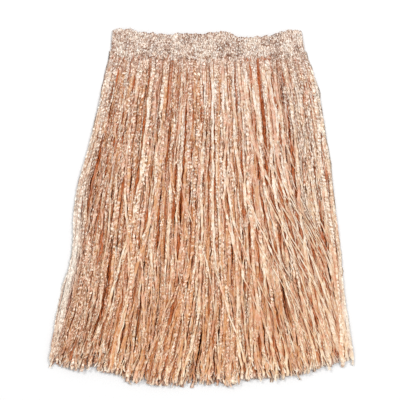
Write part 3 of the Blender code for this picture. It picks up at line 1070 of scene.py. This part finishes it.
def band_middle(turn, share):
    """The middle surface of the flattened loop: turn 0 to 1 runs along the back from left to
    right, round the right side, back along the front, and round the left side."""
    turn = turn % 1.0
    fold = 0.012
    run = 0.5 - fold
    back = turn < run
    right = (turn >= run) & (turn < 0.5)
    front = (turn >= 0.5) & (turn < 0.5 + run)
    across = np.where(back, turn / run, np.where(right, 1.0, np.where(front, 1 - (turn - 0.5) / run, 0.0)))
    inset = 0.016
    across = inset + across * (1 - 2 * inset)
    arch = BAND_ARCH * crowned(across, 8.0)
    lift = arch - np.minimum(fold_depth(across), arch)
    z_back = 2.0 + gather(across) * 0.8
    z_front = BACK_BAND_TOP + SEAM_GAP + lift + gather(across) + 0.5 * BAND_WALL + 0.3
    x, y = plan(across, band_down(across, share))
    middle, half = (z_back + z_front) / 2, (z_front - z_back) / 2
    angle = np.where(right, (turn - run) / fold, (turn - 0.5 - run) / fold) * math.pi
    round_part = right | ~(back | right | front)
    outward = np.where(right, 1.0, -1.0)
    x = np.where(round_part, x + outward * np.sin(angle) * half * 0.9, x)
    z_round = middle - outward * np.cos(angle) * half
    z = np.where(back, z_back, np.where(front, z_front, z_round))
    return np.stack([x, y, z], -1)


def band_point(turn, share, out):
    """A point of the band at a distance outward from its middle surface."""
    eps = 0.0015
    here = band_middle(turn, share)
    ahead, behind = band_middle(turn + eps, share), band_middle(turn - eps, share)
    dx, dz = (ahead - behind)[..., 0], (ahead - behind)[..., 2]
    length = np.sqrt(dx ** 2 + dz ** 2) + 1e-9
    moved = here.copy()
    moved[..., 0] += dz / length * out
    moved[..., 2] -= dx / length * out
    return moved


def mesh_object(name, points, quads, extra=(), uv=None, tone=None, sheet=None):
    me = bpy.data.meshes.new(name)
    me.vertices.add(len(points))
    me.vertices.foreach_set("co", (points * MM).astype(np.float32).ravel())
    cap_index = np.concatenate(extra) if len(extra) else np.zeros(0, int)
    loops = np.concatenate([quads.ravel(), cap_index]).astype(np.int32)
    sizes = np.concatenate([np.full(len(quads), 4), [len(c) for c in extra]]).astype(np.int32)
    starts = np.concatenate([[0], np.cumsum(sizes)[:-1]]).astype(np.int32)
    me.loops.add(len(loops))
    me.loops.foreach_set("vertex_index", loops)
    me.polygons.add(len(sizes))
    me.polygons.foreach_set("loop_start", starts)
    me.update(calc_edges=True)
    for label, data in (("ribbon", uv), ("OFBake", sheet)):
        if data is None:
            continue
        layer = me.uv_layers.new(name=label)
        full = np.zeros((len(loops), 2))
        full[: len(data)] = data
        layer.data.foreach_set("uv", full.astype(np.float32).ravel())
    place = np.tile([0.0, 0.0, 0.0, 0.0], (len(points), 1))
    for label, data in (("tone", tone), ("place", place)):
        attr = me.attributes.new(label, "FLOAT_COLOR", "POINT")
        attr.data.foreach_set("color", data.astype(np.float32).ravel())
    me.shade_smooth()
    me.validate()
    obj = bpy.data.objects.new(name, me)
    bpy.context.scene.collection.objects.link(obj)
    return obj


def knit_ground():
    """The knit's body: a thin wall all round the flattened loop."""
    n, m = 520, 16
    turn = np.arange(n) / n
    rng = np.random.default_rng(11)
    share = np.linspace(0, 1, m)
    T, S = np.meshgrid(turn, share, indexing="ij")
    ripple = 0.18 * np.sin(2 * math.pi * (150 * T + 0.2 * np.sin(9 * S))) * np.sin(math.pi * S)
    outer = band_point(T, S, 0.75 + ripple + rng.normal(0, 0.05, T.shape))
    inner = band_point(T, S, -0.75 + ripple)
    outer[..., 2] = np.maximum(outer[..., 2], 0.15)
    points = np.concatenate([outer.reshape(-1, 3), inner.reshape(-1, 3)])
    i = np.arange(n)[:, None]
    k = (i + 1) % n
    j = np.arange(m - 1)[None]
    off = n * m
    out_q = np.stack([i * m + j, i * m + j + 1, k * m + j + 1, k * m + j], -1).reshape(-1, 4)
    in_q = np.stack([off + i * m + j, off + k * m + j, off + k * m + j + 1, off + i * m + j + 1], -1).reshape(-1, 4)
    a, b = np.arange(n), (np.arange(n) + 1) % n
    top = np.stack([a * m, b * m, off + b * m, off + a * m], -1)
    bottom = np.stack([a * m + m - 1, off + a * m + m - 1, off + b * m + m - 1, b * m + m - 1], -1)
    quads = np.concatenate([out_q, in_q, top, bottom])
    width = 786.0
    uv_point = np.concatenate([np.stack([T * width, S * 52], -1).reshape(-1, 2)] * 2) * MM
    uv = uv_point[quads].reshape(-1, 2)
    # painted shade: the knit's body, seen between the stitches, takes the painted shade tone (green); its back and top
    # rows less
    tone = np.tile([0.35, 0.75, 0.5, 0.05], (len(points), 1))
    tone[:, 0] = 0.3 + 0.4 * rng.uniform(size=len(points))
    behind = np.concatenate([((T < 0.49) | (S < 0.12)).ravel()] * 2)
    tone[behind, 1] = 0.15
    tone[behind, 3] = rng.uniform(0.1, 0.9, behind.sum())
    obj = mesh_object("waistband_knit", points, quads, uv=uv, tone=tone)
    return obj


def blotches(x, y, rng, count=9):
    """Soft light and dark patches, two to nine centimetres across, of unit size."""
    total = np.zeros_like(x)
    for _ in range(count):
        angle, length = rng.uniform(0, math.pi), rng.uniform(24.0, 90.0)
        total += np.sin(2 * math.pi * ((x * math.cos(angle) + 0.9 * y * math.sin(angle)) / length + rng.uniform()))
    return total / math.sqrt(count / 2)


def knit_stitches(name, first_turn, last_turn, stitches, courses, ring_n, samples, rng):
    """Courses of knitted loops of crushed ribbon on the outside of the band."""
    pts, quads, caps, uvs, tones = [], [], [], [], []
    offset = 0
    patch_seed = int(rng.integers(1, 10000))
    ring_angle = np.linspace(0, 2 * math.pi, ring_n, endpoint=False)
    t = np.linspace(0, stitches, stitches * samples + 1)
    for course in range(courses):
        phase = rng.uniform(0, 0.3) + 0.5 * (course % 2) * 0
        tt = t + phase
        lane = (course + 0.5) / courses
        big = 1 + 0.12 * wave(t / stitches, 30, 3)
        step = 1.0 / stitches
        along_run = (t + 0.30 * np.sin(4 * math.pi * tt) * 0.55 + 0.10 * wave(t / stitches, 60, 2)) * step
        along_run = np.clip(along_run, 0, 1)
        turn = first_turn + along_run * (last_turn - first_turn)
        share = lane - 0.115 * np.cos(2 * math.pi * tt) * big + 0.012 * wave(t / stitches, 40, 3)
        share = share + 0.09 * lane ** 3 * (1 + 1.2 * wave(t / stitches, 9, 4))
        share = np.clip(share, 0.0, 1.16)
        lift = 1.35 - 0.45 * np.cos(4 * math.pi * tt) + 0.20 * wave(t / stitches, 70, 2)
        centre = band_point(turn, share, lift)
        tangent = np.gradient(centre, axis=0)
        tangent /= np.linalg.norm(tangent, axis=1)[:, None] + 1e-9
        outward = band_point(turn, share, lift + 0.5) - centre
        outward /= np.linalg.norm(outward, axis=1)[:, None] + 1e-9
        side = np.cross(tangent, outward)
        side /= np.linalg.norm(side, axis=1)[:, None] + 1e-9
        outward = np.cross(side, tangent)
        wide = 1.35 * (1 + 0.30 * rng.normal(0, 1, len(t)).clip(-1.5, 1.5))
        flat = 0.70 * (1 + 0.30 * rng.normal(0, 1, len(t)).clip(-1.5, 1.5))
        p = (
            centre[:, None]
            + side[:, None] * (np.cos(ring_angle)[None, :, None] * wide[:, None, None])
            + outward[:, None] * (np.sin(ring_angle)[None, :, None] * flat[:, None, None])
        )
        n, m = len(t), ring_n
        p[..., 2] = np.maximum(p[..., 2], 0.05)
        i = np.arange(n - 1)[:, None] * m
        j = np.arange(m)[None]
        k = (j + 1) % m
        q = np.stack([i + j, i + m + j, i + m + k, i + k], -1).reshape(-1, 4)
        quads.append(q + offset)
        caps += [offset + np.arange(m), offset + (n - 1) * m + np.arange(m)[::-1]]
        length = np.r_[0, np.cumsum(np.linalg.norm(np.diff(centre, axis=0), axis=1))]
        a0 = np.repeat(np.arange(m)[None], n - 1, 0)
        l0 = np.repeat(np.arange(n - 1)[:, None], m, 1)
        ca = np.stack([a0, a0, a0 + 1, a0 + 1], -1).reshape(-1, 4)
        cl = np.stack([l0, l0 + 1, l0 + 1, l0], -1).reshape(-1, 4)
        uvs.append(np.stack([ca * 1.3 + 37 * course, length[cl]], -1).reshape(-1, 2) * MM)
        tone = np.full((n * m, 4), 0.05)
        loops = rng.uniform(-1, 1, 2 * stitches + 2)[np.clip((2 * t).astype(int), 0, 2 * stitches + 1)]
        patch = 0.23 * blotches(centre[:, 0], centre[:, 1], np.random.default_rng(patch_seed))
        left, right = along(FAN, 30.0, 1), along(FAN, 30.0, 2)
        place = (centre[:, 0] - left) / (right - left)
        # painted shade along the band's folds: the loops there are darker
        fold_shade = sum(np.exp(-(((place - at) / (1.4 * half)) ** 2)) for at, half, _ in BAND_FOLDS)
        tone[:, 0] = np.repeat(np.clip(0.50 + 0.30 * loops + patch - 0.28 * fold_shade, 0, 1), m)
        # painted shade on the inner side of each loop
        tone[:, 1] = np.tile(np.where(np.sin(ring_angle) < -0.2, 0.8, 0.0), n)
        tone[:, 2] = 0.9
        # crests and troughs of the loops, which the material whitens as painted highlights and darkens as painted shade
        tone[:, 3] = np.clip(0.5 - 0.40 * np.repeat(np.cos(4 * math.pi * tt), m) + rng.normal(0, 0.25, n * m), 0, 1)
        tones.append(tone)
        pts.append(p.reshape(-1, 3))
        offset += n * m
    return mesh_object(
        name, np.concatenate(pts), np.concatenate(quads), caps, uv=np.concatenate(uvs), tone=np.concatenate(tones)
    )


ground = knit_ground()
front_stitches = knit_stitches("waistband_stitches", 0.494, 0.994, 84, 11, 5, 11, np.random.default_rng(21))
for piece in (ground, front_stitches):
    piece.data.materials.append(KNIT)
    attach(piece, "root")
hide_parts("waistband_back", "waistband_front")

# ------------------------------------------------------------------ floor, light, camera
floor_mesh = bpy.data.meshes.new("floor")
floor_mesh.from_pydata([(-30, -30, 0), (30, -30, 0), (30, 30, 0), (-30, 30, 0)], [], [(0, 1, 2, 3)])
floor = bpy.data.objects.new("floor", floor_mesh)
bpy.context.scene.collection.objects.link(floor)
floor_mat, _, floor_shader = new_material("pale_floor")
floor_shader.inputs["Base Color"].default_value = (0.72, 0.72, 0.72, 1.0)
floor_shader.inputs["Roughness"].default_value = 0.9
floor_shader.inputs["Specular IOR Level"].default_value = 0.1
floor_mesh.materials.append(floor_mat)

world = bpy.data.worlds.new("soft_light")
bpy.context.scene.world = world
world.use_nodes = True
world.node_tree.nodes["Background"].inputs["Color"].default_value = (1.0, 1.0, 1.0, 1.0)
world.node_tree.nodes["Background"].inputs["Strength"].default_value = 0.70


def area_light(name, place, target, size, power):
    data = bpy.data.lights.new(name, "AREA")
    data.shape = "RECTANGLE"
    data.size, data.size_y = size
    data.energy = power
    obj = bpy.data.objects.new(name, data)
    bpy.context.scene.collection.objects.link(obj)
    obj.location = place
    aim = np.array(target, float) - np.array(place, float)
    obj.rotation_euler = mathutils.Vector(aim).to_track_quat("-Z", "Y").to_euler()
    return obj


area_light("key", (-1.8, 2.2, 4.4), (0, 0, 0), (1.3, 1.3), 112.0)
area_light("fill", (2.0, 1.0, 4.2), (0, 0, 0), (1.3, 1.3), 112.0)

camera_data = bpy.data.cameras.new("camera")
camera_data.lens = 100.0
camera_data.sensor_width = 36.0
camera = bpy.data.objects.new("camera", camera_data)
bpy.context.scene.collection.objects.link(camera)
camera.location = (-0.001, 0.0139, 2.2)
camera.rotation_euler = (0, 0, 0)
bpy.context.scene.camera = camera
bpy.context.scene.view_settings.view_transform = "Standard"

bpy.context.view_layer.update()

triangles = {}
for obj in bpy.context.scene.objects:
    if obj.type == "MESH" and not obj.name.startswith(("fringe_", "waistband_back", "waistband_front", "floor")):
        triangles[obj.name] = sum(len(face.vertices) - 2 for face in obj.data.polygons)
print("triangles", sum(triangles.values()), "most", max(triangles.values()), triangles.get("waistband_stitches"))
print("ribbons", len(ribbons), "raw pile", float(HEIGHT.max()), "mean press", float(PRESS_TOP.mean()))
